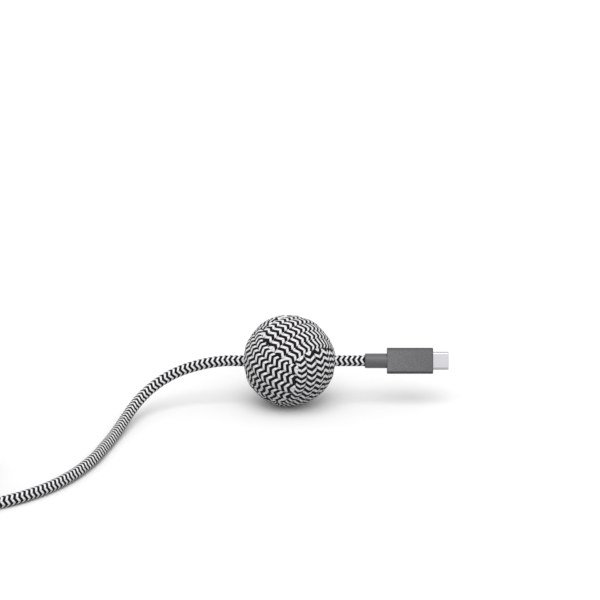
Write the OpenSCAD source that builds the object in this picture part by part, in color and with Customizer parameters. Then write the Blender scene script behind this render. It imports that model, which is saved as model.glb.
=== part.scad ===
// Charging cable: a braided cord with the same flat plug on both ends and a weighted rope knot
// that slides and turns on the cord near one plug. Millimetres, +Z up. The origin is the
// foot of the knot, on the surface that the cable lies on; the near plug points along +X.

/* [Cord] */
// Diameter over the braid
cord_d = 5; // [4.6:0.1:5.2]
// Air between neighbouring turns of the coil
coil_gap = 0.5; // [0.45:0.05:0.8]
// Centreline radius of the innermost turn
coil_inner_r = 20.75; // [18:0.25:24]
// Turns wound before the coil reverses
layer_turns = 3.5; // [2.5:1:4.5]
// Layers of turns, one on the other
coil_layers = 4; // [2:2:4]

/* [Knot] */
// Thickness of a turn on the outside
turn_d = 3.9; // [3.6:0.1:4]
// Thickness of a turn squeezed underneath
under_d = 2.5; // [2.2:0.1:2.5]
// Air between the weight and the turns underneath
weight_gap = 0.3; // [0.2:0.05:0.5]
// Space between the turns underneath and those outside
layer_gap = 1.2; // [1.1:0.05:1.5]
// Depth of the flattened foot
foot_depth = 0.4; // [0.2:0.05:0.6]
// Angle from one turn to the next, seen from the centre
turn_angle = 13.4; // [13.2:0.1:13.6]
// Tilt of the knot about the cord
knot_tilt = 17; // [15:0.5:18]
// Air between the turns and the cord that passes them
turn_clear = 0.3; // [0.2:0.05:0.5]

/* [Weight and sleeve] */
// Diameter of the ball inside the turns
weight_d = 26; // [24:0.5:26]
// Wall of the sleeve in the weight
sleeve_wall = 0.9; // [0.7:0.1:1.2]
// Play between sleeve and cord, on the radius
slide_clear = 0.1; // [0.05:0.01:0.2]
// Play between weight and sleeve, on the radius
spin_clear = 0.05; // [0.02:0.01:0.1]
// Height of the rims that keep the weight on its sleeve
rim_h = 0.7; // [0.4:0.1:0.9]
// Thickness of those rims
rim_t = 0.6; // [0.4:0.1:0.8]

/* [Plug] */
// Width of the metal shell
shell_w = 8.25; // [8.2:0.01:8.3]
// Thickness of the metal shell
shell_h = 2.4; // [2.36:0.01:2.44]
// Sheet of the metal shell
shell_wall = 0.25; // [0.2:0.01:0.3]
// Length of shell in front of the housing
shell_out = 7.1; // [6.5:0.1:7.5]
// Length of shell held inside the housing
shell_in = 6.5; // [5.5:0.1:7.5]
// Width of the housing
housing_w = 11.9; // [11.6:0.1:12.6]
// Thickness of the housing
housing_t = 6.2; // [6:0.1:7]
// Length of the housing
housing_len = 21; // [20:0.5:24]
// Edge radius of the housing
housing_r = 1.4; // [0.8:0.1:1.8]
// Wall of the housing
housing_wall = 0.8; // [0.6:0.05:0.9]
// Clearance between pieces that fit in each other
fit = 0.05; // [0.03:0.01:0.08]

/* [Strain relief] */
// Diameter of the neck
neck_d = 6.8; // [6.4:0.1:8]
// Length of the neck
neck_len = 10.1; // [9:0.1:14]
// Thickness of the wall that stops the cord inside the neck
neck_stop = 1.8; // [1.2:0.1:2.5]
// Width of the bevel round the neck's rear edge
neck_bevel = 0.4; // [0.2:0.1:0.6]
// Width of the neck's shoulder against the housing
neck_shoulder = 0.95; // [0.8:0.05:1.1]

/* [Inside the plug] */
// Width of the mouth for the socket's tongue
mouth_w = 6.7; // [6.6:0.05:6.8]
// Height of that mouth
mouth_h = 0.8; // [0.76:0.01:0.84]
// Depth of that mouth
mouth_depth = 6.2; // [5.8:0.1:6.4]
// Distance from contact to contact
contact_pitch = 0.5; // [0.45:0.01:0.5]
// Width of a contact
contact_w = 0.22; // [0.18:0.01:0.3]
// Thickness of a contact
contact_t = 0.12; // [0.08:0.01:0.14]
// Depth of the contacts below the mouth's walls
contact_sink = 0.02; // [0.01:0.01:0.05]
// Length of the contacts' tails on the board
contact_tail = 1.8; // [1.5:0.1:2.2]
// Distance from the shell's lip back to the contacts
contact_back = 1.2; // [1:0.1:1.6]
// Distance from the shell's lip back to the carrier
carrier_back = 0.2; // [0.1:0.05:0.4]
// Thickness of the latch springs
latch_t = 0.15; // [0.1:0.01:0.2]
// Distance from the mouth's side walls out to the latch springs
latch_inset = 0.1; // [0.08:0.01:0.14]
// Distance from the shell's rear edge to the latch springs
latch_root = 1.5; // [1.2:0.1:2]
// Distance from the shell's lip back to the latch springs
latch_back = 2.5; // [2.2:0.1:3]
// Length of the latches' nibs
nib_len = 0.8; // [0.6:0.1:1]
// Reach of the nibs into the mouth
nib_reach = 0.1; // [0.06:0.01:0.15]
// Width of the circuit board
board_w = 8; // [7:0.1:8.4]
// Thickness of the circuit board
board_t = 0.76; // [0.6:0.02:0.78]
// Side of the marker chip
chip_w = 2.5; // [2:0.1:3]
// Height of the marker chip
chip_h = 0.75; // [0.5:0.05:1]
// Distance from the soldered wires to the marker chip
chip_gap = 1.5; // [1:0.1:1.8]
// Length of a capacitor
capacitor_len = 1; // [0.8:0.1:1.2]
// Width and height of a capacitor
capacitor_w = 0.5; // [0.3:0.05:0.6]
// Distance from capacitor to capacitor
capacitor_pitch = 2; // [1.6:0.1:2.2]
// Distance from the contacts' tails to the capacitors
capacitor_gap = 0.8; // [0.5:0.1:1]
// Width of the shielding can
can_w = 9.4; // [9.1:0.1:9.8]
// Thickness of the shielding can
can_h = 3.6; // [3.4:0.1:4]
// Sheet of the shielding can
can_wall = 0.2; // [0.15:0.01:0.3]
// Length of shell that the can laps over
can_lap = 2; // [1.5:0.1:2.5]
// Diameter of the cord without its braid
jacket_d = 3; // [2.6:0.1:3]
// Diameter of a single wire
wire_d = 0.55; // [0.4:0.05:0.6]
// Distance from wire to wire
wire_pitch = 0.62; // [0.61:0.01:0.66]
// Bare length of the wires between jacket and board
wire_bare = 0.5; // [0.3:0.1:1]
// Length of wire soldered to the board
wire_lap = 1.5; // [1:0.1:2]
// Wall of the crimped collar
collar_wall = 0.4; // [0.25:0.05:0.5]
// Length of the crimped collar
collar_len = 1.65; // [1.4:0.05:2]

/* [Layout] */
// Free cord between the knot and the near plug's neck
neck_gap = 13.6; // [13.6:0.1:25]
// Roll of the near plug about the cord
plug_roll = 70; // [0:5:90]

/* [Hidden] */
$fn = 48;
// How far a cut runs past the solid
over = 1;

cord_colour = "#8d8b8e";
turn_colours = ["#8d8b8e", "#a09da1", "#7c7a7e"];
weight_colour = "#8f9194";
sleeve_colour = "#3a3b3d";
housing_colour = "#6c6c6e";
neck_colour = "#77777a";
mould_colour = "#d9d7d2";
can_colour = "#b9babd";
collar_colour = "#b08d4a";
jacket_colour = "#2d2d2f";
wire_colours = ["#b3202a", "#1f1f21", "#e9e9e6", "#2f7d46", "#2b5fa8"];
board_colour = "#1f5b3a";
chip_colour = "#1b1b1d";
capacitor_colour = "#9c7b55";
carrier_colour = "#161617";
contact_colour = "#d8b25a";
latch_colour = "#c4c6ca";
shell_colour = "#d0d0d2";

// Knot: cord lines of the turns underneath and outside, and the height of the knot's centre
under_r = weight_d / 2 + weight_gap + under_d / 2;
turn_r = under_r + under_d / 2 + layer_gap + turn_d / 2;
knot_r = turn_r + turn_d / 2;
knot_h = knot_r - foot_depth;
neck_x = knot_r + neck_gap;

// Cord: the near stretch passes the knot at its centre's height, the rest lies on the surface
cord_r = cord_d / 2;
coil_d = cord_d - coil_gap;
flat_share = 1 / 10;
coil_pitch = cord_d;
coil_outer_r = coil_inner_r + coil_pitch * layer_turns;
coil_turns = layer_turns * coil_layers;
coil_end_turn = 0.25;
climb_turns = 0.5;
settle_turns = 0.15;
coil_low = coil_d / 2 - coil_d * flat_share;
coil_steps = 24;
coil_sides = 6;
cord_sides = 12;

// Where the cord runs from the straight stretch at the knot down to the surface and to the coil
lead_left = 29;
run_points = [
    [-36, -0.8, 19.9], [-43, -1.8, 18.6], [-50, -3.7, 16.8], [-56.5, -6.8, 14.4],
    [-62, -10.8, 11.7], [-66.5, -16, 9], [-70, -22.7, 6.6], [-73, -31.5, 4.6],
    [-75.5, -41, 3.3], [-78, -51, 2.6], [-80.5, -61, 2.5], [-83, -71, 2.5],
    [-86.5, -81, 2.5], [-91, -91, 2.5], [-97, -101, 2.5], [-105, -110.5, 2.5],
    [-115, -119, 2.5], [-127, -125.5, 2.5], [-141, -129, 2.5], [-155, -130.3, 2.5],
    [-167, -130.5, 2.5]
];
run_path = concat([[-lead_left, 0, knot_h]], run_points);
run_end = run_points[len(run_points) - 1];
coil_centre = [run_end.x - cord_d, run_end.y + coil_outer_r];
// Where it comes down from the top of the coil to the straight stretch at the far plug
tail_points = [
    [-211.7, -80, 15.8], [-211.9, -72, 13], [-212, -63, 9], [-212, -54, 5.6],
    [-212, -46, 3.7], [-212, -40, 3.1], [-212, -35, 3.1]
];
tail_end = tail_points[len(tail_points) - 1];
far_lead_join = 1;
far_lead_len = 8;
far_lead_y = tail_end.y + far_lead_join;
far_neck = [tail_end.x, far_lead_y + far_lead_len];

// Plug, measured along its own axis from the rear of the neck
back_x = neck_len;
front_x = back_x + housing_len;
tip_x = front_x + shell_out;
shell_x = front_x - shell_in;
cord_stop_x = neck_len - neck_stop;
spigot_d = neck_d - 2 * neck_shoulder;
spigot_len = housing_wall * 2;
mould_x = back_x + spigot_len + 3 * fit;
mould_end_x = front_x - housing_wall - fit;
can_x = mould_x + collar_len + 2 * fit;
can_end_x = shell_x + can_lap;
jacket_end_x = can_x + 2 * can_wall;
board_x = jacket_end_x + wire_bare;
board_end_x = shell_x - 2 * fit;
contact_z = mouth_h / 2 + contact_sink;
contact_x = shell_x - contact_tail;
contact_end_x = tip_x - contact_back;
contact_count = 12;
capacitor_count = 4;
carrier_end_x = tip_x - carrier_back;
mouth_x = tip_x - mouth_depth;
latch_y = mouth_w / 2 + latch_inset;
latch_x = shell_x + latch_root;
latch_end_x = tip_x - latch_back;
wire_z = board_t / 2 + wire_d / 2;

// ---------------------------------------------------------------- vectors, rings and tubes
function unit(v) = v / norm(v);
function ease(x) = let (c = min(max(x, 0), 1)) c * c * (3 - 2 * c);
function heading(path, i) = unit(path[min(i + 1, len(path) - 1)] - path[max(i - 1, 0)]);
function path_length(path) = len(path) < 2 ? 0
    : [for (i = 1, s = 0; i <= len(path); s = s + (i < len(path) ? norm(path[i] - path[i - 1]) : 0),
        i = i + 1) s][len(path) - 1];

// Points of one ring round c, square to t, the first turned by first degrees from ref
function ring(c, t, ref, r, sides, first) =
    let (side = unit(cross(t, ref)), up = cross(side, t))
    [for (k = [0 : sides - 1]) let (a = first + 360 * k / sides)
        c + r * (cos(a) * up + sin(a) * side)];

// One unbroken closed tube along path; ends are square to start_dir and end_dir
module tube(path, radii, refs, sides, first, start_dir, end_dir) {
    last = len(path) - 1;
    points = [for (i = [0 : last])
        let (t = i == 0 ? start_dir : i == last ? end_dir : heading(path, i))
        each ring(path[i], t, refs[i], radii[i], sides, first)];
    walls = [for (i = [0 : last - 1], k = [0 : sides - 1])
        let (a = i * sides + k, b = i * sides + (k + 1) % sides)
        each [[a, a + sides, b], [b, a + sides, b + sides]]];
    caps = [for (k = [1 : sides - 2])
        each [[0, k, k + 1], [last * sides, last * sides + k + 1, last * sides + k]]];
    polyhedron(points, concat(walls, caps), convexity = 10);
}

// Rows of [point, radius, ...] of a tube with cuts - 1 more between each two, on the tube's chords
function chords(rows, cuts) = [for (i = [0 : len(rows) - 2], k = [0 : cuts - 1]) let (t = k / cuts)
    [rows[i][0] + t * (rows[i + 1][0] - rows[i][0]), rows[i][1] + t * (rows[i + 1][1] - rows[i][1])]];

// Least distance between the surfaces of two tubes, both given as rows of [point, radius]
function least_gap(rows_a, rows_b) =
    min([for (a = rows_a, b = rows_b) norm(a[0] - b[0]) - a[1] - b[1]]);
// The same within one tube, leaving out rows less than skip apart along it
function least_self_gap(rows, skip) =
    min([for (i = [0 : len(rows) - 1 - skip], j = [i + skip : len(rows) - 1])
        norm(rows[i][0] - rows[j][0]) - rows[i][1] - rows[j][1]]);

// ---------------------------------------------------------------- knot
// The knot has three sets of turns, square to each other. On each of its six sides one set
// lies outside and the next passes underneath. Each set is one tube: a turn lies at a fixed
// angle from its middle plane and moves on to the next angle while it is underneath.
turn_count = 5;
turn_steps = 24;
turn_sides = 6;
way_sides = 12;
turn_start = 112.5;
turn_end = 360 * turn_count + 180 - turn_start;
move_half = 36;
dive_margin = 2;
cable_way = unit([0.60, 0.34, -0.724]);
corner_way = unit([1, 1, 1] - ([1, 1, 1] * cable_way) * cable_way);
third_way = cross(cable_way, corner_way);

// A point in the knot's own axes, turned so that the cord runs along X, at the knot's height
function placed(v) =
    let (c = v * corner_way, s = v * third_way)
    [v * cable_way,
     -cos(knot_tilt) * c - sin(knot_tilt) * s,
     sin(knot_tilt) * c - cos(knot_tilt) * s + knot_h];

// Number of the turn at angle a along the set, from -half to +half, eased from one to the next
function turn_number(a) =
    let (steps = [for (m = [1 : turn_count - 1])
        ease((a - 90 - 360 * m + move_half) / (2 * move_half))])
    steps * [for (m = [1 : turn_count - 1]) 1] - (turn_count - 1) / 2;

// Share of the way underneath, 0 outside and 1 underneath, for turn number n at angle a
function under_share(a, n) =
    let (from_top = abs((a + 90) % 180 - 90),
         edge = sin((turn_count - 1) / 2 * turn_angle),
         own = sin(n * turn_angle),
         dive = atan2(edge, sqrt(1 - edge * edge - own * own)) + dive_margin)
    ease((from_top - dive) / (90 - 2 * dive));

// Row [point, radius, outward direction] of set 0, 1 or 2 at angle a
function turn_row(set, a) =
    let (n = turn_number(a), w = under_share(a, n),
         r = turn_r + (under_r - turn_r) * w,
         o = r * sin(n * turn_angle), f = sqrt(r * r - o * o),
         x = f * cos(a), y = f * sin(a),
         p = placed(set == 0 ? [x, y, o] : set == 1 ? [o, x, y] : [y, o, x]))
    [p, turn_d / 2 + (under_d - turn_d) / 2 * w, unit(p - [0, 0, knot_h])];

function turn_rows(set, step) = [for (a = [turn_start : step : turn_end]) turn_row(set, a)];

module turns(set) {
    rows = turn_rows(set, 360 / turn_steps);
    last = len(rows) - 1;
    path = [for (row = rows) row[0]];
    color(turn_colours[set]) difference() {
        tube(path, [for (row = rows) row[1]], [for (row = rows) row[2]], turn_sides,
            180 / turn_sides, unit(path[1] - path[0]), unit(path[last] - path[last - 1]));
        // the cord's way through
        translate([-turn_r * 2, 0, knot_h]) rotate([0, 90, 0])
            cylinder(r = (cord_r + turn_clear) / cos(180 / way_sides), h = turn_r * 4,
                $fn = way_sides);
        // flat foot
        translate([-turn_r, -turn_r, -turn_r]) cube([2 * turn_r, 2 * turn_r, turn_r]);
    }
}

module knot_first_turns() {
    cuts = 4;
    first = chords(turn_rows(0, 360 / turn_steps), cuts);
    echo(least_gap_first_to_second = least_gap(first, chords(turn_rows(1, 360 / turn_steps), cuts)));
    echo(least_gap_within_a_set = least_self_gap(first, cuts * turn_steps / 2));
    turns(0);
}
module knot_second_turns() turns(1);
module knot_third_turns() turns(2);

sleeve_r = cord_r + slide_clear;
sleeve_out_r = sleeve_r + sleeve_wall;
weight_bore_r = sleeve_out_r + spin_clear;
rim_r = weight_bore_r + rim_h;
rim_seat_x = sqrt(pow(weight_d / 2, 2) - pow(rim_r, 2)) - rim_t - 2 * spin_clear;

module knot_weight() color(weight_colour) translate([0, 0, knot_h]) difference() {
    sphere(d = weight_d, $fn = 2 * $fn);
    rotate([0, 90, 0]) cylinder(r = weight_bore_r, h = weight_d * 2, center = true);
    for (end = [0, 180]) rotate([0, 90 + end, 0])
        translate([0, 0, rim_seat_x]) cylinder(r = rim_r + 2 * spin_clear, h = weight_d);
}

module knot_sleeve() color(sleeve_colour) translate([0, 0, knot_h]) rotate([0, 90, 0]) difference() {
    union() {
        cylinder(r = sleeve_out_r, h = 2 * (rim_seat_x + spin_clear + rim_t), center = true);
        for (end = [0, 180]) rotate([end, 0, 0])
            translate([0, 0, rim_seat_x + spin_clear]) cylinder(r = rim_r, h = rim_t);
    }
    cylinder(r = sleeve_r, h = weight_d * 2, center = true);
}

// ---------------------------------------------------------------- cord
lead_end = neck_x + cord_stop_x - fit;

module near_cord_lead() color(cord_colour)
    translate([-lead_left, 0, knot_h]) rotate([0, 90, 0]) cylinder(d = cord_d, h = lead_left + lead_end);

module free_stretch(points, start_dir, end_dir) color(cord_colour)
    tube(points, [for (p = points) cord_r], [for (p = points) [0, 0, 1]], cord_sides, 0,
        start_dir, end_dir);

module cord_run() free_stretch(run_path, [-1, 0, 0], [-1, 0, 0]);
module cord_tail() free_stretch(tail_path, [0, 1, 0], [0, 1, 0]);

module far_cord_lead() color(cord_colour)
    translate([far_neck.x, far_lead_y, housing_t / 2]) rotate([-90, 0, 0])
        cylinder(d = cord_d, h = far_neck.y - far_lead_y + cord_stop_x - fit);

// Turns wound from the first, at the coil's near side, clockwise seen from above
function coil_wave(u) = let (m = u % (2 * layer_turns)) min(m, 2 * layer_turns - m);
function coil_radius(u) = u > coil_turns ? coil_outer_r + coil_pitch * (u - coil_turns)
    : coil_outer_r - coil_pitch * coil_wave(u);
function coil_climb(u) =
    let (climbs = [for (j = [1 : coil_layers - 1])
        ease((u - layer_turns * j + climb_turns / 2) / climb_turns)])
    climbs * [for (c = climbs) 1];
function coil_height(u) =
    coil_low + (cord_r - coil_low) * (1 - ease(u / settle_turns)) + coil_pitch * coil_climb(u);
function coil_point(u) =
    let (a = 270 - 360 * u, r = coil_radius(u))
    [coil_centre.x + r * cos(a), coil_centre.y + r * sin(a), coil_height(u)];
coil_path = concat(
    [coil_point(0) + [cord_d, 0, 0]],
    [for (i = [0 : (coil_turns + coil_end_turn) * coil_steps]) coil_point(i / coil_steps)],
    [coil_point(coil_turns + coil_end_turn) + [0, cord_d, 0]]);
tail_path = concat([coil_path[len(coil_path) - 1]], tail_points,
    [[far_neck.x, far_lead_y, housing_t / 2]]);

module cord_coil() {
    echo(least_gap_in_coil = least_self_gap([for (p = coil_path) [p, coil_d / 2]], coil_steps / 2));
    echo(cord_length_mm = neck_x + lead_left + path_length(run_path) + path_length(coil_path)
        + path_length(tail_path) + far_neck.y - far_lead_y);
    color(cord_colour) difference() {
        tube(coil_path, [for (p = coil_path) coil_d / 2], [for (p = coil_path) [0, 0, 1]],
            coil_sides, 180 / coil_sides, [-1, 0, 0], [0, 1, 0]);
        translate([coil_centre.x - coil_outer_r * 2, coil_centre.y - coil_outer_r * 2, -cord_d])
            cube([coil_outer_r * 4, coil_outer_r * 4, cord_d]);
    }
}

// ---------------------------------------------------------------- plug
module near() translate([neck_x, 0, knot_h]) rotate([plug_roll, 0, 0]) children();
module far() translate([far_neck.x, far_neck.y, housing_t / 2]) rotate([0, 0, 90]) children();

// Outline in the plug's cross-section, carried along its axis from x by len
module along(x, len) translate([x, 0, 0]) rotate([90, 0, 90]) linear_extrude(len) children();
module round_along(x, len, d) translate([x, 0, 0]) rotate([0, 90, 0]) cylinder(d = d, h = len);
module block(x, len, w, h, y = 0, z = 0) translate([x, y - w / 2, z - h / 2]) cube([len, w, h]);
module rounded(w, h, r) {
    square([w - 2 * r, h], center = true);
    if (h > 2 * r) square([w, h - 2 * r], center = true);
    for (sx = [-1, 1], sy = [-1, 1]) translate([sx * (w / 2 - r), sy * (h / 2 - r)]) circle(r);
}
module stadium(w, h) {
    square([w - h, h], center = true);
    for (s = [-1, 1]) translate([s * (w - h) / 2, 0]) circle(d = h);
}

// Outer housing: a flat moulded sleeve with end walls, for the shell in front, the neck behind
module housing() color(housing_colour) difference() {
    along(back_x, housing_len) rounded(housing_w, housing_t, housing_r);
    along(back_x + housing_wall, housing_len - 2 * housing_wall)
        square([housing_w - 2 * housing_wall, housing_t - 2 * housing_wall], center = true);
    along(front_x - 2 * housing_wall, 3 * housing_wall)
        stadium(shell_w + 2 * fit, shell_h + 2 * fit);
    round_along(back_x - housing_wall, 3 * housing_wall, spigot_d + 2 * fit);
}

// Strain relief: a round neck on the cord with a spigot through the housing's rear wall
module strain_relief() color(neck_colour) difference() {
    union() {
        translate([neck_bevel, 0, 0]) rotate([0, 90, 0]) cylinder(d = neck_d, h = neck_len - neck_bevel);
        rotate([0, 90, 0]) cylinder(d1 = neck_d - 2 * neck_bevel, d2 = neck_d, h = neck_bevel);
        round_along(neck_len, spigot_len, spigot_d);
    }
    round_along(-neck_len, neck_len + cord_stop_x, cord_d + 2 * fit);
    round_along(0, neck_len * 2, jacket_d + 4 * fit);
}

// Inner mould: fills the housing round the can, the shell and the crimped collar
module inner_mould() color(mould_colour) difference() {
    block(mould_x, mould_end_x - mould_x, housing_w - 2 * housing_wall - 2 * fit,
        housing_t - 2 * housing_wall - 2 * fit);
    block(can_x - fit, can_end_x - can_x + 2 * fit, can_w + 2 * fit, can_h + 2 * fit);
    along(can_x, housing_len) stadium(shell_w + 2 * fit, shell_h + 2 * fit);
    round_along(back_x, can_x - back_x + fit, jacket_d + 2 * collar_wall + 4 * fit);
}

// Shielding can: thin box round the board, open to the jacket behind and the shell in front
module shield_can() color(can_colour) difference() {
    block(can_x, can_end_x - can_x, can_w, can_h);
    block(can_x + can_wall, can_end_x - can_x - 2 * can_wall, can_w - 2 * can_wall,
        can_h - 2 * can_wall);
    along(can_end_x - 2 * can_wall, 3 * can_wall) stadium(shell_w + 2 * fit, shell_h + 2 * fit);
    round_along(can_x - can_wall, 3 * can_wall, jacket_d + 2 * fit);
}

module crimp_collar() color(collar_colour) difference() {
    round_along(mould_x + fit, collar_len, jacket_d + 2 * collar_wall + 2 * fit);
    round_along(back_x, housing_len, jacket_d + 2 * fit);
}

module inner_jacket() color(jacket_colour)
    round_along(cord_stop_x, jacket_end_x - cord_stop_x, jacket_d);

// One wire of each colour from the end of the jacket onto the board
module wires() for (i = [0 : len(wire_colours) - 1]) color(wire_colours[i])
    translate([0, (i - (len(wire_colours) - 1) / 2) * wire_pitch, wire_z])
        round_along(jacket_end_x, wire_bare + wire_lap, wire_d);

// The board fills the can between the bare wires and the shell
module circuit_board() color(board_colour)
    block(board_x, board_end_x - board_x, board_w, board_t);

module marker_chip() color(chip_colour)
    block(board_x + wire_lap + chip_gap, chip_w, chip_w, chip_h, 0, board_t / 2 + chip_h / 2);

module capacitors() color(capacitor_colour)
    for (i = [0 : capacitor_count - 1])
        block(contact_x - capacitor_gap - capacitor_len, capacitor_len, capacitor_w, capacitor_w,
            (i - (capacitor_count - 1) / 2) * capacitor_pitch, -board_t / 2 - capacitor_w / 2);

// Contact carrier: fills the shell round the mouth, with recesses for contacts and latches
carrier_w = shell_w - 2 * shell_wall - fit;
carrier_h = shell_h - 2 * shell_wall - fit;
row_w = (contact_count - 1) * contact_pitch + contact_w + 4 * fit;
recess_top = contact_z + contact_t;
nib_y = mouth_w / 2 - nib_reach;
module contact_carrier() color(carrier_colour) difference() {
    along(shell_x, carrier_end_x - shell_x) stadium(carrier_w, carrier_h);
    block(mouth_x, mouth_depth + over, mouth_w, mouth_h);
    for (s = [-1, 1]) {
        block(shell_x - over, contact_end_x + 2 * fit - shell_x + over, row_w,
            recess_top - mouth_h / 4, 0, s * (recess_top + mouth_h / 4) / 2);
        block(latch_x - fit, latch_end_x - latch_x + 2 * fit, latch_t + 2 * fit, mouth_h / 2,
            s * (latch_y + latch_t / 2));
        block(latch_end_x - nib_len - 4 * fit, nib_len + 5 * fit, latch_y + latch_t / 2 - nib_y + 2 * fit,
            mouth_h / 2, s * (latch_y + latch_t / 2 + nib_y - 2 * fit) / 2);
    }
}

module contact_row(side) color(contact_colour)
    for (i = [0 : contact_count - 1])
        block(contact_x, contact_end_x - contact_x, contact_w, contact_t,
            (i - (contact_count - 1) / 2) * contact_pitch, side * (contact_z + contact_t / 2));

// Side latches: a leaf spring each side with a nib that grips the socket's tongue
module side_latches() color(latch_colour)
    for (s = [-1, 1]) {
        block(latch_x, latch_end_x - latch_x, latch_t, mouth_h / 2 - 2 * fit,
            s * (latch_y + latch_t / 2));
        block(latch_end_x - nib_len, nib_len, latch_y - nib_y, mouth_h / 2 - 2 * fit,
            s * (latch_y + nib_y) / 2);
    }

// Metal shell: a drawn tube of flat oval section round the carrier
module metal_shell() color(shell_colour) difference() {
    along(shell_x, tip_x - shell_x) stadium(shell_w, shell_h);
    along(shell_x - over, tip_x - shell_x + 2 * over)
        stadium(shell_w - 2 * shell_wall, shell_h - 2 * shell_wall);
}

// ---------------------------------------------------------------- nodes
module near_strain_relief() near() strain_relief();
module near_housing() near() housing();
module near_inner_mould() near() inner_mould();
module near_shield_can() near() shield_can();
module near_crimp_collar() near() crimp_collar();
module near_inner_jacket() near() inner_jacket();
module near_wires() near() wires();
module near_circuit_board() near() circuit_board();
module near_marker_chip() near() marker_chip();
module near_capacitors() near() capacitors();
module near_contact_carrier() near() contact_carrier();
module near_upper_contacts() near() contact_row(1);
module near_lower_contacts() near() contact_row(-1);
module near_side_latches() near() side_latches();
module near_metal_shell() near() metal_shell();
module far_strain_relief() far() strain_relief();
module far_housing() far() housing();
module far_inner_mould() far() inner_mould();
module far_shield_can() far() shield_can();
module far_crimp_collar() far() crimp_collar();
module far_inner_jacket() far() inner_jacket();
module far_wires() far() wires();
module far_circuit_board() far() circuit_board();
module far_marker_chip() far() marker_chip();
module far_capacitors() far() capacitors();
module far_contact_carrier() far() contact_carrier();
module far_upper_contacts() far() contact_row(1);
module far_lower_contacts() far() contact_row(-1);
module far_side_latches() far() side_latches();
module far_metal_shell() far() metal_shell();

knot_weight();
knot_sleeve();
knot_first_turns();
knot_second_turns();
knot_third_turns();
near_cord_lead();
cord_run();
cord_coil();
cord_tail();
far_cord_lead();
near_strain_relief();
near_housing();
near_inner_mould();
near_shield_can();
near_crimp_collar();
near_inner_jacket();
near_wires();
near_circuit_board();
near_marker_chip();
near_capacitors();
near_contact_carrier();
near_upper_contacts();
near_lower_contacts();
near_side_latches();
near_metal_shell();
far_strain_relief();
far_housing();
far_inner_mould();
far_shield_can();
far_crimp_collar();
far_inner_jacket();
far_wires();
far_circuit_board();
far_marker_chip();
far_capacitors();
far_contact_carrier();
far_upper_contacts();
far_lower_contacts();
far_side_latches();
far_metal_shell();
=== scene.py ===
"""A braided charging cable: near plug, weighted rope knot, cord, coil and far plug, in metres."""

import math

import bmesh
import bpy
import numpy as np
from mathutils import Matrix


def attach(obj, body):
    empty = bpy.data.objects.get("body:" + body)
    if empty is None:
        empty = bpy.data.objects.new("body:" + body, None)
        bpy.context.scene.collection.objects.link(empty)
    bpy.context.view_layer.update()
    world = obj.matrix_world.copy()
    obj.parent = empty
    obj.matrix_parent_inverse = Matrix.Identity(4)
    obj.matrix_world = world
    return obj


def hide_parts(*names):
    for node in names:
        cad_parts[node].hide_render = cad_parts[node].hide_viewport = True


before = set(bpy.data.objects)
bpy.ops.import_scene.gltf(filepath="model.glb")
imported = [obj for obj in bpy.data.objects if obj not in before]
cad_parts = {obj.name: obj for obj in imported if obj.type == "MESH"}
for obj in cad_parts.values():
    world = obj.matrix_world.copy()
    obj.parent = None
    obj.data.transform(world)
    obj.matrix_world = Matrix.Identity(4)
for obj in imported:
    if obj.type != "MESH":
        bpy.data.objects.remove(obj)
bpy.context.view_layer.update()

# ---------------------------------------------------------------- camera
# The photograph looks down on the knot by 20 degrees, square to the near plug, through a long
# lens. The knot's centre is at KNOT_PIXEL of the 600 pixel picture.
MM = 0.001
KNOT_HEIGHT = 20.5
VIEW_DOWN = math.radians(20)
PICTURE = 600
KNOT_PIXEL = (289.2, 360.8)
PIXELS_PER_MM = 2.19
LENS, SENSOR = 150.0, 36.0

view_distance = PICTURE / PIXELS_PER_MM / SENSOR * LENS
right_of_knot = (PICTURE / 2 - KNOT_PIXEL[0]) / PIXELS_PER_MM
knot_below_axis = math.atan((KNOT_PIXEL[1] - PICTURE / 2) / PIXELS_PER_MM / view_distance)
camera_data = bpy.data.cameras.new("camera")
camera_data.lens = LENS
camera_data.sensor_width = SENSOR
camera_data.clip_start = 0.01
camera = bpy.data.objects.new("camera", camera_data)
bpy.context.collection.objects.link(camera)
camera.location = (
    right_of_knot * MM,
    -view_distance * math.cos(VIEW_DOWN) * MM,
    (KNOT_HEIGHT + view_distance * math.sin(VIEW_DOWN)) * MM,
)
camera.rotation_euler = (math.pi / 2 - VIEW_DOWN + knot_below_axis, 0, 0)
bpy.context.scene.camera = camera

# ---------------------------------------------------------------- cord
# One cord, 5 mm across and 3 m long: copper wires and a rubber jacket in a tight braid of black
# and white polyester yarn. It runs from the near plug through the knot, comes down to the
# surface, and its spare length is wound in a coil of four layers that ends at the far plug.
CORD_D = 5.0
# from the knot's centre to the near neck's rear end, from there to the cord's end inside the
# neck, and from the centre to where the cord starts to bend on the other side
NECK_X = 34.5
CORD_STOP = 8.2
LEAD_LEFT = 29.0
# listed points of its way down to the coil, and from the coil's top to the far plug
RUN_POINTS = [
    (-36, -0.8, 19.9), (-43, -1.8, 18.6), (-50, -3.7, 16.8), (-56.5, -6.8, 14.4),
    (-62, -10.8, 11.7), (-66.5, -16, 9), (-70, -22.7, 6.6), (-73, -31.5, 4.6),
    (-75.5, -41, 3.3), (-78, -51, 2.6), (-80.5, -61, 2.5), (-83, -71, 2.5),
    (-86.5, -81, 2.5), (-91, -91, 2.5), (-97, -101, 2.5), (-105, -110.5, 2.5),
    (-115, -119, 2.5), (-127, -125.5, 2.5), (-141, -129, 2.5), (-155, -130.3, 2.5),
    (-167, -130.5, 2.5),
]
TAIL_POINTS = [
    (-211.7, -80, 16.4), (-211.9, -72, 13.5), (-212, -63, 9.4), (-212, -54, 5.9),
    (-212, -46, 3.8), (-212, -40, 3.2), (-212, -35, 3.1),
]
FAR_NECK = (-212, -26, 3.1)
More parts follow.
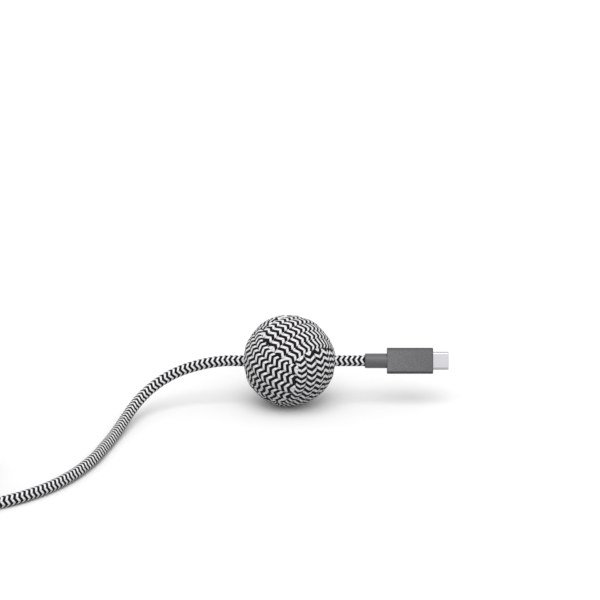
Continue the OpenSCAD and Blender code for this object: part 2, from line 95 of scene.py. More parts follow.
LAYER_TURNS, LAYERS, COIL_INNER_R = 3.5, 4, 20.75
CLIMB_TURNS, LAST_TURN = 0.5, 0.25
COIL_STEPS = 24


def ease(x):
    """3x^2 - 2x^3 between 0 and 1, held at its ends."""
    x = np.clip(x, 0, 1)
    return x * x * (3 - 2 * x)


def unit(rows):
    """Each row divided by its length."""
    return rows / np.linalg.norm(rows, axis=-1, keepdims=True)


def coil_points():
    """A spiral in and out by one cord diameter a turn, with a climb of one at each reversal."""
    u = np.arange(0, LAYER_TURNS * LAYERS + LAST_TURN + 1e-6, 1 / COIL_STEPS)
    outer = COIL_INNER_R + CORD_D * LAYER_TURNS
    wave = np.abs((u + LAYER_TURNS) % (2 * LAYER_TURNS) - LAYER_TURNS)
    last = np.maximum(u - LAYER_TURNS * LAYERS, 0)
    radius = outer - CORD_D * np.where(last > 0, -last, wave)
    climbs = [ease((u - LAYER_TURNS * j) / CLIMB_TURNS + 0.5) for j in range(1, LAYERS)]
    angle = np.radians(270 - 360 * u)
    centre_x, centre_y = RUN_POINTS[-1][0] - CORD_D, RUN_POINTS[-1][1] + outer
    return np.stack([
        centre_x + radius * np.cos(angle),
        centre_y + radius * np.sin(angle),
        CORD_D / 2 + CORD_D * sum(climbs),
    ], axis=1)


def smooth_line(points, per_segment=10):
    """Catmull-Rom curve: each stretch is a cubic whose end slopes join the points on both sides."""
    p = np.vstack([2 * points[0] - points[1], points, 2 * points[-1] - points[-2]])
    t = np.linspace(0, 1, per_segment, endpoint=False)[None, :, None]
    a, b, c, d = (p[i:len(p) - 3 + i, None, :] for i in range(4))
    curve = 0.5 * (2 * b + (c - a) * t + (2 * a - 5 * b + 4 * c - d) * t**2
                   + (3 * b - a - 3 * c + d) * t**3)
    return np.vstack([curve.reshape(-1, 3), points[-1:]])


def lengths_along(line):
    """Running sum of the distances from point to point, from 0."""
    return np.concatenate([[0], np.cumsum(np.linalg.norm(np.diff(line, axis=0), axis=1))])


def resampled(line, at):
    """Points at the lengths given, each on the chord between its two neighbours."""
    s = lengths_along(line)
    return np.stack([np.interp(at, s, line[:, i]) for i in range(3)], axis=1)


BAKE_MARGIN = 0.01


def tube_piece(name, points, pattern_u, turn, strips):
    """A closed tube through rings of points, an array of rings by sides by 3, in millimetres.

    UV map "braid" holds pattern_u along the tube and turn, a share of the way round it, which
    may differ from ring to ring. UV map "OFBake" lays the skin out as strips side by side."""
    rings, sides = points.shape[:2]
    turn = np.broadcast_to(turn, (rings, sides + 1))
    i, k = np.meshgrid(np.arange(rings - 1), np.arange(sides), indexing="ij")
    corner_i = np.stack([i, i + 1, i + 1, i], axis=-1).reshape(-1, 4)
    corner_k = np.stack([k, k, k + 1, k + 1], axis=-1).reshape(-1, 4)
    quads = corner_i * sides + corner_k % sides
    caps = [list(range(sides))[::-1], [(rings - 1) * sides + n for n in range(sides)]]
    mesh = bpy.data.meshes.new(name)
    mesh.from_pydata((points.reshape(-1, 3) * MM).tolist(), [], quads.tolist() + caps)
    s = lengths_along(points.mean(axis=1))
    # a little over an equal share, so that the tube's end is still in the last strip
    strip_length = s[-1] / strips * 1.0001
    strip = np.floor(s[i.reshape(-1)] / strip_length)[:, None]
    inner = 1 - 2 * BAKE_MARGIN
    braid = np.stack([pattern_u[corner_i], turn[corner_i, corner_k]], axis=-1)
    bake = np.stack([(strip + BAKE_MARGIN + inner * corner_k / sides) / strips,
                     inner * (s[corner_i] - strip * strip_length) / strip_length + BAKE_MARGIN],
                    axis=-1)
    # the two hidden end faces share one spot in the margin
    end_uv = np.full((2 * sides, 2), BAKE_MARGIN / 5)
    for map_name, values in (("OFBake", bake), ("braid", braid)):
        layer = mesh.uv_layers.new(name=map_name)
        flat = np.vstack([values.reshape(-1, 2), end_uv])
        layer.data.foreach_set("uv", flat.astype(np.float32).reshape(-1))
    mesh.shade_smooth()
    piece = bpy.data.objects.new(name, mesh)
    bpy.context.collection.objects.link(piece)
    return piece


def heading(line):
    """Unit direction at each point, from the point before to the point after."""
    return unit(np.gradient(line, axis=0))


# The braid: bands of black and white yarn run round the cord in a zigzag, one band of each
# colour every BRAID_PITCH. A leg of a band is a float of yarn that dives where two legs meet.
BRAID_PITCH = 2.35
ZIGZAGS_ROUND = 4
# rise of a leg in pitches, roll of the pattern in turns, depth of the dips between floats in
# millimetres, and the share of a leg over which a float dives at its end
ZIGZAG_RISE = 0.5
BRAID_ROLL = 0.036
RIDGE = 0.11
FLOAT_END = 0.3


def zigzag(turn, zigzags):
    """Triangle wave, 0 at turn 0 and 1 half a period on, with that many periods round."""
    return 1 - np.abs((turn * zigzags) % 1 * 2 - 1)


def yarn_height(pattern_u, turn, zigzags):
    """1 along the middle of a float of yarn, 0 between bands and half where legs meet: the sine
    across the bands to the power 0.7, times a half to one eased from each end of the leg."""
    leg = zigzag(turn, zigzags)
    across = np.abs(np.sin(2 * np.pi * (pattern_u - ZIGZAG_RISE * leg))) ** 0.7
    along = ease((0.5 - np.abs(leg - 0.5)) / FLOAT_END)
    return across * (0.5 + 0.5 * along)


straight_lead = np.array([(x, 0, KNOT_HEIGHT) for x in np.linspace(
    NECK_X + CORD_STOP, -LEAD_LEFT, 13)])
far_lead = np.array([(FAR_NECK[0], FAR_NECK[1] + y, FAR_NECK[2])
                     for y in (-8, -4, 0, 4, CORD_STOP)])
route = smooth_line(np.vstack([straight_lead, RUN_POINTS, coil_points()[1:], TAIL_POINTS, far_lead]))
route_length = lengths_along(route)[-1]
# the stretch that is seen from near has finer rings and the braid's full relief
FINE_PART, FINE_STEP, COIL_STEP = 270.0, 0.3, 1.25
FAR_RELIEF = 0.4
stations = np.concatenate([np.arange(0, FINE_PART, FINE_STEP),
                           np.arange(FINE_PART, route_length, COIL_STEP), [route_length]])
cord_line = resampled(route, stations)
cord_heading = heading(cord_line)
cord_side = unit(np.cross(cord_heading, [0.0, 0.0, 1.0]))
cord_up = np.cross(cord_side, cord_heading)
CORD_SIDES = 28
turn = np.linspace(-0.5, 0.5, CORD_SIDES + 1)
cord_u = stations / BRAID_PITCH
yarn = yarn_height(cord_u[:, None], turn[:-1] + BRAID_ROLL, ZIGZAGS_ROUND)
radius = CORD_D / 2 - RIDGE * np.where(stations < FINE_PART, 1, FAR_RELIEF)[:, None] * (1 - yarn)
across = (radius * np.sin(2 * np.pi * turn[:-1]))[..., None] * cord_side[:, None]
out = (radius * np.cos(2 * np.pi * turn[:-1]))[..., None] * cord_up[:, None]
cord = tube_piece("cord", cord_line[:, None] + across + out, cord_u, turn + BRAID_ROLL, strips=14)


def linear(hex_colour):
    """An sRGB hex colour as linear red, green, blue and alpha: a low channel over 12.92, any
    other plus 0.055, over 1.055, to the power 2.4."""
    channels = [int(hex_colour[i:i + 2], 16) / 255 for i in (1, 3, 5)]
    return [c / 12.92 if c <= 0.04045 else ((c + 0.055) / 1.055) ** 2.4 for c in channels] + [1.0]


def add(tree, kind, inputs=None, **settings):
    """Adds a node, sets its properties, and links or sets its inputs by name or number.

    A node given as an input is linked by its first output."""
    made = tree.nodes.new(kind)
    for key, value in settings.items():
        setattr(made, key, value)
    for key, value in (inputs or {}).items():
        if isinstance(value, bpy.types.Node):
            value = value.outputs[0]
        if isinstance(value, bpy.types.NodeSocket):
            tree.links.new(value, made.inputs[key])
        else:
            made.inputs[key].default_value = value
    return made


def new_material(name):
    """A named material with an empty node tree, and that tree."""
    material = bpy.data.materials.new(name)
    material.use_nodes = True
    material.node_tree.nodes.clear()
    return material, material.node_tree


def finish_material(tree, shader):
    """Makes the shader what the surface shows."""
    add(tree, "ShaderNodeOutputMaterial", {"Surface": shader})


# each yarn's painted shade in the dips, and its colour on its ridge between thick and thin fibres
YARNS = {"white": ("#5f5a62", "#d6d2d8", "#ffffff"), "black": ("#020203", "#050406", "#1f1d22")}
PLIES = 3
# a filament is some 0.02 mm thick, too fine to show, so they are drawn 0.08 mm apart, 30 to a
# pitch; how often one changes along a leg, and how far the colours fray into each other
FIBRES_A_PITCH, FIBRES_A_LEG, FRAY = 30.0, 1.8, 0.7
# the sine at which white and black meet, and at which a float's and a ply's edges end; the share
# of a leg over which a float darkens at its ends with painted shade; and what is left of its light
# there
BORDER, FLOAT_EDGE, PLY_EDGE = (-0.24, 0.1), 0.36, 0.6
DARK_END, END_SHADE, PLY_SHADE = 0.14, 0.55, 0.55
WEAVE_DEPTH = 0.12


def braid_material(name, zigzags):
    """Woven polyester, matt and soft: yarn in two colours, each float a pillow of fine fibres.

    The sine of the phase is above 0 on a black band and below 0 on a white one. A float is full
    where that sine is far from 0, and falls off where two legs of the zigzag meet. Painted shade
    darkens its colour in the dips between floats and at its ends, and between its plies."""
    material, tree = new_material(name)
    uv = add(tree, "ShaderNodeUVMap", uv_map="braid")
    place = add(tree, "ShaderNodeSeparateXYZ", {0: uv})
    legs = add(tree, "ShaderNodeMath", {0: place.outputs[1], 1: zigzags * 2.0},
               operation="MULTIPLY")
    leg = add(tree, "ShaderNodeMath", {0: legs, 1: 1.0}, operation="PINGPONG")
    phase = add(tree, "ShaderNodeMath", {0: leg, 1: -ZIGZAG_RISE, 2: place.outputs[0]},
                operation="MULTIPLY_ADD")
    angle = add(tree, "ShaderNodeMath", {0: phase, 1: 2 * math.pi}, operation="MULTIPLY")
    band = add(tree, "ShaderNodeMath", {0: angle}, operation="SINE")

    # fibres along each leg, which also fray the border between the colours
    over = add(tree, "ShaderNodeMath", {0: phase, 1: FIBRES_A_PITCH}, operation="MULTIPLY")
    down = add(tree, "ShaderNodeMath", {0: legs, 1: FIBRES_A_LEG}, operation="MULTIPLY")
    strewn = add(tree, "ShaderNodeCombineXYZ", {0: over, 1: down})
    fibres = add(tree, "ShaderNodeTexNoise", {"Vector": strewn, "Scale": 1.0, "Detail": 3.0})
    shift = add(tree, "ShaderNodeMath", {0: fibres, 1: 0.5}, operation="SUBTRACT")
    frayed = add(tree, "ShaderNodeMath", {0: shift, 1: FRAY, 2: band}, operation="MULTIPLY_ADD")
    is_black = add(tree, "ShaderNodeMapRange", {
        "Value": frayed, "From Min": BORDER[0], "From Max": BORDER[1]},
        interpolation_type="SMOOTHSTEP")

    # the pillow of a float, across its band and along its leg: its height, and the painted shade
    # in the dips between floats and at its ends
    from_edge = add(tree, "ShaderNodeMath", {0: band}, operation="ABSOLUTE")
    across = add(tree, "ShaderNodeMapRange", {"Value": from_edge, "From Max": FLOAT_EDGE},
                 interpolation_type="SMOOTHSTEP")
    from_middle = add(tree, "ShaderNodeMath", {0: leg, 1: 0.5}, operation="SUBTRACT")
    off_middle = add(tree, "ShaderNodeMath", {0: from_middle}, operation="ABSOLUTE")
    from_end = add(tree, "ShaderNodeMath", {0: 0.5, 1: off_middle}, operation="SUBTRACT")
    along = add(tree, "ShaderNodeMapRange", {
        "Value": from_end, "From Max": DARK_END, "To Min": END_SHADE},
        interpolation_type="SMOOTHSTEP")
    pillow = add(tree, "ShaderNodeMath", {0: across, 1: along}, operation="MULTIPLY")

    # plies side by side in a float, with painted shade between them, and the thickness of its fibres
    ply_angle = add(tree, "ShaderNodeMath", {0: phase, 1: 2 * math.pi * PLIES},
                    operation="MULTIPLY")
    ply_wave = add(tree, "ShaderNodeMath", {0: ply_angle}, operation="SINE")
    ply = add(tree, "ShaderNodeMath", {0: ply_wave}, operation="ABSOLUTE")
    plies = add(tree, "ShaderNodeMapRange", {
        "Value": ply, "From Max": PLY_EDGE, "To Min": PLY_SHADE}, interpolation_type="SMOOTHSTEP")
    thickness = add(tree, "ShaderNodeMath", {0: fibres, 1: 0.6, 2: 0.4}, operation="MULTIPLY_ADD")
    tone = add(tree, "ShaderNodeMath", {0: thickness, 1: plies}, operation="MULTIPLY")

    yarn = {}
    # the ridge's colour, darkened by painted shade towards the dip colour where the float dives
    for colour, (shade_in_dip, thin, thick) in YARNS.items():
        ridge = add(tree, "ShaderNodeMix", {"Factor": tone, 6: linear(thin), 7: linear(thick)},
                    data_type="RGBA")
        yarn[colour] = add(tree, "ShaderNodeMix", {
            "Factor": pillow, 6: linear(shade_in_dip), 7: ridge.outputs[2]}, data_type="RGBA").outputs[2]
    both = add(tree, "ShaderNodeMix", {"Factor": is_black, 6: yarn["white"], 7: yarn["black"]},
               data_type="RGBA")
    height = add(tree, "ShaderNodeMath", {0: tone, 1: 0.4, 2: pillow}, operation="MULTIPLY_ADD")
    bump = add(tree, "ShaderNodeBump", {"Strength": 0.6, "Distance": WEAVE_DEPTH * MM,
                                        "Height": height})
    shader = add(tree, "ShaderNodeBsdfPrincipled", {
        "Base Color": both.outputs[2], "Roughness": 0.8, "Sheen Weight": 0.06,
        "Sheen Roughness": 0.5, "Specular IOR Level": 0.1, "Normal": bump})
    finish_material(tree, shader)
    return material


cord.data.materials.append(braid_material("braided polyester on the cord", ZIGZAGS_ROUND))
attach(cord, "cable")
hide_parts("near_cord_lead", "cord_run", "cord_coil", "cord_tail", "far_cord_lead")

# ---------------------------------------------------------------- knot
# A monkey's fist round a cast weight: a cord of the same braid in three sets of five turns,
# square to each other, pulled tight so that the turns flatten and close up. On each side one set
# lies outside, and its turns dive under the edge of the next.
TURN_R, UNDER_R = 18.85, 14.55
TURN_WIDTH, TURN_HEIGHT = 5.35, 4.15
UNDER_WIDTH, UNDER_HEIGHT = 3.0, 2.8
SQUARENESS = 4.0
# degrees: from turn to turn, where a set starts, and half the stretch in which it moves over
TURN_COUNT, TURN_ANGLE, TURN_START, MOVE_HALF = 5, 13.4, 112, 36.0
# degrees over which a turn dives, and how long before it crosses the next set's outermost turn
# it is down: below 0, so just after
DIVE_LENGTH, DIVE_MARGIN = 11.0, -1.0
BANDS_A_TURN = 45
KNOT_TILT = math.radians(17)
# a knot pulled by hand: roll of the braid in turns and its wave in millimetres; bands out of
# step in pitches; turns too high or low in millimetres, and low places in each; a step is how
# far such a wave goes on from one turn to the next, in radians
ROLL, ROLL_WAVE = 0.055, 17.0
STAGGER, STAGGER_STEP = 0.27, 2.1
LIFT, LIFT_STEP, LOW_PLACES = 0.16, 2.3, 3
# space round the cord in the knot, and under its flattened foot
WAY_CLEAR, FOOT_CLEAR = 0.12, 0.01
# in the knot's own three square axes: the way of the cord through it, the way square to that
# which is nearest to a corner where the three sets meet, and the way square to both
CABLE_WAY = unit(np.array([0.60, 0.34, -0.724]))
CORNER_WAY = unit(np.ones(3) - CABLE_WAY.sum() * CABLE_WAY)
THIRD_WAY = np.cross(CABLE_WAY, CORNER_WAY)
KNOT_CENTRE = np.array([0, 0, KNOT_HEIGHT])
TURN_SIDES = 36

# section of a turn: a rounded square of half size 1, and how far round it each point is
section_angle = np.linspace(-np.pi, np.pi, TURN_SIDES + 1)
oval = (np.abs(np.cos(section_angle))**SQUARENESS
        + np.abs(np.sin(section_angle))**SQUARENESS) ** (-1 / SQUARENESS)
section = np.stack([oval * np.sin(section_angle), oval * np.cos(section_angle)], axis=1)
section_turn = lengths_along(section * (TURN_WIDTH / 2, TURN_HEIGHT / 2))
# a zigzag of the braid is as wide as the turns stand apart on the knot's outside
KNOT_ZIGZAGS = section_turn[-1] / (2 * math.sin(math.radians(TURN_ANGLE / 2))
                                   * (TURN_R + TURN_HEIGHT / 2))
section_turn = section_turn / section_turn[-1] - 0.5
knot_braid = braid_material("braided polyester on the knot", KNOT_ZIGZAGS)


def turned(v):
    """Turns points from the knot's own axes to the object's: their part along the cord is the
    object's x, and their other two parts are turned about it by the tilt."""
    c, s = v @ CORNER_WAY, v @ THIRD_WAY
    return np.stack([v @ CABLE_WAY, -math.cos(KNOT_TILT) * c - math.sin(KNOT_TILT) * s,
                     math.sin(KNOT_TILT) * c - math.cos(KNOT_TILT) * s], axis=-1)


def turn_line(order, angle):
    """Centreline of a set of turns, share of the way underneath and turn number, at an angle.

    A turn is a circle at a fixed angle from the set's middle plane. Underneath it eases to the
    next turn's angle. Its radius eases down just before the next set's outermost turn."""
    number = sum(ease((angle - 90 - 360 * m + MOVE_HALF) / (2 * MOVE_HALF))
                 for m in range(1, TURN_COUNT)) - (TURN_COUNT - 1) / 2
    lift = np.sin(np.radians(number * TURN_ANGLE))
    edge = math.sin(math.radians((TURN_COUNT - 1) / 2 * TURN_ANGLE))
    crossing = 90 - np.degrees(np.arctan2(edge, np.sqrt(1 - edge**2 - lift**2))) - DIVE_MARGIN
    from_top = np.abs((angle + 90) % 180 - 90)
    under = ease((from_top - crossing + DIVE_LENGTH) / DIVE_LENGTH)
    # a wave from turn to turn and a wave along each turn
    uneven = LIFT * (np.sin(LIFT_STEP * number + 2 * order[0])
                     + np.sin(np.radians(LOW_PLACES * angle)))
    radius = TURN_R + (UNDER_R - TURN_R) * under + uneven * (1 - under)
    flat = radius * np.sqrt(1 - lift**2)
    own = np.stack([flat * np.cos(np.radians(angle)), flat * np.sin(np.radians(angle)),
                    radius * lift], axis=1)
    return turned(own[:, order]), under, number


def rope_turns(name, order):
    """Sweeps the flattened section, wider outwards, along one set of turns round the weight."""
    angle = np.arange(TURN_START, 360 * TURN_COUNT + 180 - TURN_START + 0.5, 1.0)
    line, under, number = turn_line(order, angle)
    s = lengths_along(line)
    at = np.arange(0, s[-1], FINE_STEP)
    line, angle = resampled(line, at), np.interp(at, s, angle)
    under, number = np.interp(at, s, under), np.interp(at, s, number)
    side = unit(np.cross(heading(line), unit(line)))
    up = np.cross(side, heading(line))
    # the braid rolls a little in its flattened section, and its bands are a little out of step
    pattern_u = angle / 360 * BANDS_A_TURN + STAGGER * np.sin(STAGGER_STEP * number + order[0])
    turn = section_turn + ROLL * np.sin(at / ROLL_WAVE + order[0])[:, None]
    dent = 1 - RIDGE / (TURN_HEIGHT / 2) * (
        1 - yarn_height(pattern_u[:, None], turn[:, :-1], KNOT_ZIGZAGS))
    half_w = (TURN_WIDTH + (UNDER_WIDTH - TURN_WIDTH) * under)[:, None] / 2
    half_h = (TURN_HEIGHT + (UNDER_HEIGHT - TURN_HEIGHT) * under)[:, None] / 2
    height = half_h * section[:-1, 1] * dent
    radius = np.linalg.norm(line, axis=1)[:, None]
    width = half_w * section[:-1, 0] * dent * (radius + height) / (radius + half_h)
    points = line[:, None] + side[:, None] * width[..., None] + up[:, None] * height[..., None]
    # the turns part for the cord and flatten on the surface
    from_cord = np.hypot(points[..., 1], points[..., 2])
    away = (from_cord**4 + (CORD_D / 2 + WAY_CLEAR) ** 4) ** 0.25 / np.maximum(from_cord, 1e-6)
    points[..., 1:] *= away[..., None]
    points += KNOT_CENTRE
    points[..., 2] = np.maximum(points[..., 2], FOOT_CLEAR)
    piece = tube_piece(name, points, pattern_u, turn, strips=6)
    piece.data.materials.append(knot_braid)
    return piece


for name, order in (("first", [0, 1, 2]), ("second", [2, 0, 1]), ("third", [1, 2, 0])):
    turns = rope_turns(f"{name}_turns", order)
    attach(turns, "knot")
    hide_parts(f"knot_{name}_turns")

# ---------------------------------------------------------------- plug housings
# Each plug has a flat housing, moulded in dark grey polycarbonate round all that is in it. Its
# edges are eased all round and polished, glossier than its grained faces and darkened with painted
# shade, as is the slit round the shell. A round neck comes out behind, and the front wall is open
# for the metal shell.
PLUGS = ("near", "far")
HOUSING_LEN, HOUSING_W, HOUSING_T, HOUSING_R = 21.0, 11.9, 6.2, 1.4
NECK_D, NECK_LEN = 6.8, 10.1
SHELL_W, SHELL_H, SHELL_WALL, SHELL_OUT, SHELL_IN = 8.25, 2.4, 0.25, 7.1, 6.5
FRONT = NECK_LEN + HOUSING_LEN
TIP = FRONT + SHELL_OUT
PLUG_ROLL = math.radians(70)
PER_CORNER = 14
SHARP_ANGLE = math.radians(35)


def in_place(points, plug):
    """Turns and moves points from the plug's own axes to where the near or far plug is."""
    x, y, z = np.moveaxis(points, -1, 0)
    if plug == "near":
        c, s = math.cos(PLUG_ROLL), math.sin(PLUG_ROLL)
        return np.stack([x + NECK_X, c * y - s * z, s * y + c * z + KNOT_HEIGHT], axis=-1)
    return np.stack([FAR_NECK[0] - y, FAR_NECK[1] + x, FAR_NECK[2] + z], axis=-1)


def rounded_outline(w, h, r, per_corner=PER_CORNER):
    """Rectangle w by h with corners of radius r, as points going round once."""
    a = np.concatenate([np.linspace(q, q + 90, per_corner) for q in (0, 90, 180, 270)])
    sx = np.repeat([1, -1, -1, 1], per_corner)
    sy = np.repeat([1, 1, -1, -1], per_corner)
    return np.stack([sx * (w / 2 - r) + r * np.cos(np.radians(a)),
                     sy * (h / 2 - r) + r * np.sin(np.radians(a))], axis=1)


def lofted(name, rings, plug, gloss_and_shade=None, closed=False):
    """A solid through rings of (x, outline), with ends capped, or joined when closed.

    The share of polished finish and of painted shade at each point of each ring, if given, is kept
    as an attribute."""
    points = np.stack([np.column_stack([np.full(len(o), x), o]) for x, o in rings])
    count, sides = points.shape[:2]
    last = count if closed else count - 1
    i, k = np.meshgrid(np.arange(last), np.arange(sides), indexing="ij")
    j, m = (i + 1) % count, (k + 1) % sides
    faces = np.stack([i * sides + k, j * sides + k, j * sides + m, i * sides + m], axis=-1)
    faces = faces.reshape(-1, 4).tolist()
    if not closed:
        faces += [list(range(sides)), [(count - 1) * sides + n for n in range(sides)]]
    mesh = bpy.data.meshes.new(name)
    mesh.from_pydata((in_place(points, plug).reshape(-1, 3) * MM).tolist(), [], faces)
    if gloss_and_shade is not None:
        share = mesh.attributes.new("gloss_and_shade", "FLOAT", "POINT")
        share.data.foreach_set("value", np.array(gloss_and_shade, dtype=np.float32).reshape(-1))
    work = bmesh.new()
    work.from_mesh(mesh)
    bmesh.ops.remove_doubles(work, verts=work.verts, dist=1e-7)
    bmesh.ops.recalc_face_normals(work, faces=work.faces)
    work.to_mesh(mesh)
    work.free()
    mesh.shade_smooth()
    mesh.set_sharp_from_angle(angle=SHARP_ANGLE)
    piece = bpy.data.objects.new(name, mesh)
    bpy.context.collection.objects.link(piece)
    return piece


# tone of the grain's hills and hollows, the noise at which each is reached, the grain's depth
# in millimetres, and the gloss of a polished edge
PALER, DARKER = 1.22, 0.82
HOLLOW, HILL = 0.38, 0.62
GRAIN_DEPTH = 0.03
POLISHED = 0.3


def moulded_material(name, colour, grain, roughness, shade_colour):
    """Moulded plastic: satin, with a spark-eroded grain, and glossy where polished, with painted
    shade there.

    A real grain is about 0.05 mm across, too fine to show, so the noise that makes its tone and
    bump is drawn grain millimetres across, with finer noise on it."""
    material, tree = new_material(name)
    place = add(tree, "ShaderNodeTexCoord")
    grit = add(tree, "ShaderNodeTexNoise", {"Vector": place.outputs["Object"],
                                            "Scale": 1 / (grain * MM), "Detail": 3.0})
    pale = [PALER * c for c in linear(colour)[:3]] + [1.0]
    dark = [DARKER * c for c in linear(colour)[:3]] + [1.0]
    share = add(tree, "ShaderNodeMapRange", {"Value": grit, "From Min": HOLLOW, "From Max": HILL})
    tone = add(tree, "ShaderNodeMix", {"Factor": share, 6: dark, 7: pale}, data_type="RGBA")
    bump = add(tree, "ShaderNodeBump", {"Strength": 0.35, "Distance": GRAIN_DEPTH * MM,
                                        "Height": grit})
    # the share of polish: glossier there, and darkened towards the last colour, which is painted
    # shade
    gloss_and_shade = add(tree, "ShaderNodeAttribute", attribute_name="gloss_and_shade")
    tone = add(tree, "ShaderNodeMix", {"Factor": gloss_and_shade.outputs["Fac"], 6: tone.outputs[2],
                                       7: linear(shade_colour)}, data_type="RGBA")
    gloss = add(tree, "ShaderNodeMapRange", {"Value": gloss_and_shade.outputs["Fac"],
                                             "To Min": roughness, "To Max": POLISHED})
    shader = add(tree, "ShaderNodeBsdfPrincipled", {
        "Base Color": tone.outputs[2], "Roughness": gloss, "IOR": 1.5, "Normal": bump})
    finish_material(tree, shader)
    return material


# its polished edges, front faces and slit take #363638 as painted shade
housing_plastic = moulded_material("moulded polycarbonate, grained", "#6d6c6f", 0.5, 0.5,
                                   "#363638")
# radius of the eased edges, and the slit round the shell
EDGE, EDGE_STEPS = 0.4, 6
SHELL_SLIT, SLIT_DEPTH, SLIT_BEVEL = 0.07, 1.2, 0.1
# the long edges are polished round their corners, glossier and with painted shade; this much of
# it spreads over the faces from the front edge, as painted shade where the light falls off forwards
FRONT_GLOSS_AND_SHADE = 0.4
edge_gloss_and_shade = np.tile(np.sin(np.linspace(0, math.pi, PER_CORNER)) ** 0.5, 4)
quarter = np.radians(np.linspace(0, 90, EDGE_STEPS))
slit_w, slit_h = SHELL_W + 2 * SHELL_SLIT, SHELL_H + 2 * SHELL_SLIT
for plug in PLUGS:
    rings = []
    for wall, inwards in ((NECK_LEN, 1), (FRONT, -1)):
        for a in quarter[::inwards]:
            inset = EDGE * (1 - math.sin(a))
            rings.append((wall + inwards * EDGE * (1 - math.cos(a)), rounded_outline(
                HOUSING_W - 2 * inset, HOUSING_T - 2 * inset, HOUSING_R - inset)))
    for x, wider in ((FRONT, SLIT_BEVEL), (FRONT - SLIT_BEVEL, 0), (FRONT - SLIT_DEPTH, 0)):
        rings.append((x, rounded_outline(slit_w + 2 * wider, slit_h + 2 * wider,
                                         slit_h / 2 + wider)))
    gloss_and_shade = [edge_gloss_and_shade] * EDGE_STEPS + [np.maximum(edge_gloss_and_shade, FRONT_GLOSS_AND_SHADE)]
    # the slit round the shell is polished in full, with the darkest painted shade, in its recess
    gloss_and_shade += [np.ones_like(edge_gloss_and_shade)] * (len(rings) - len(gloss_and_shade))
    housing = lofted(f"{plug}_housing_shell", rings, plug, gloss_and_shade)
    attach(housing, "cable")
    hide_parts(f"{plug}_housing")
    housing.data.materials.append(housing_plastic)

# ---------------------------------------------------------------- strain reliefs
# A plain round neck moulded in satin elastomer on the cord's end, smoother than the housing. It
# is rounded at its rear, where the cord goes in, and a shallow groove parts it from the housing.
neck_plastic = moulded_material("moulded elastomer, satin", "#5c5c5f", 0.16, 0.34, "#3c3c3e")
NECK_ROUND, BORE_DEPTH, BORE_CLEAR = 0.55, 1.8, 0.05
# depth of the groove, where it starts before the housing, its slope, and the neck's end inside
GROOVE, GROOVE_START, GROOVE_SLOPE, NECK_LAP = 0.12, 0.25, 0.15, 0.3
groove_r = NECK_D / 2 - GROOVE
groove_x = NECK_LEN - GROOVE_START
bore_r = CORD_D / 2 + BORE_CLEAR
for plug in PLUGS:
    profile = [(BORE_DEPTH, bore_r), (0.0, bore_r), (0.0, NECK_D / 2 - NECK_ROUND)]
    profile += [(NECK_ROUND * (1 - math.cos(a)), NECK_D / 2 - NECK_ROUND * (1 - math.sin(a)))
                for a in np.radians(np.linspace(15, 90, 6))]
    profile += [(groove_x, NECK_D / 2), (groove_x + GROOVE_SLOPE, groove_r),
                (NECK_LEN + NECK_LAP, groove_r)]
    neck = lofted(f"{plug}_neck", [(x, rounded_outline(2 * r, 2 * r, r, 16)) for x, r in profile],
                  plug)
    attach(neck, "cable")
    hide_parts(f"{plug}_strain_relief")
    neck.data.materials.append(neck_plastic)

# ---------------------------------------------------------------- metal shells
# A tube of flat oval section, deep drawn from steel sheet, nickel plated and rounded at its lip.
# Drawing leaves fine lines along it, which blur what it mirrors. They are some 0.02 mm apart,
# too fine to show, and are drawn LINE_WIDTH millimetres apart.
LINE_WIDTH, LINE_STRETCH = 0.12, 25
shell_steel, tree = new_material("nickel-plated drawn steel")
place = add(tree, "ShaderNodeTexCoord")
stretch = add(tree, "ShaderNodeMapping", {"Vector": place.outputs["Object"],
                                          "Scale": (1 / LINE_STRETCH, 1, 1)})
drawn = add(tree, "ShaderNodeTexNoise", {"Vector": stretch, "Scale": 1 / (LINE_WIDTH * MM),
                                         "Detail": 2.0})
gloss = add(tree, "ShaderNodeMapRange", {"Value": drawn, "To Min": 0.22, "To Max": 0.34})
finish_material(tree, add(tree, "ShaderNodeBsdfPrincipled", {
    "Base Color": linear("#aeaeb1"), "Metallic": 1.0, "Roughness": gloss}))
LIP = 0.24
for plug in PLUGS:
    rings = [(FRONT - SHELL_IN, rounded_outline(SHELL_W, SHELL_H, SHELL_H / 2))]
    for a in quarter:
        inset = LIP * (1 - math.cos(a))
        rings.append((TIP - LIP + LIP * math.sin(a), rounded_outline(
            SHELL_W - 2 * inset, SHELL_H - 2 * inset, SHELL_H / 2 - inset)))
    inner_w, inner_h = SHELL_W - 2 * SHELL_WALL, SHELL_H - 2 * SHELL_WALL
    rings.append((TIP, rounded_outline(inner_w, inner_h, inner_h / 2)))
    rings.append((FRONT - SHELL_IN, rounded_outline(inner_w, inner_h, inner_h / 2)))
    shell = lofted(f"{plug}_shell_tube", rings, plug, closed=True)
    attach(shell, "cable")
    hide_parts(f"{plug}_metal_shell")
    shell.data.materials.append(shell_steel)

# ---------------------------------------------------------------- pieces inside the plugs
# They keep their solids: the carrier's black resin with its gold contacts, which the open mouth
# shows, and behind it the board, its parts, the wires, the can, the mould and the collar.


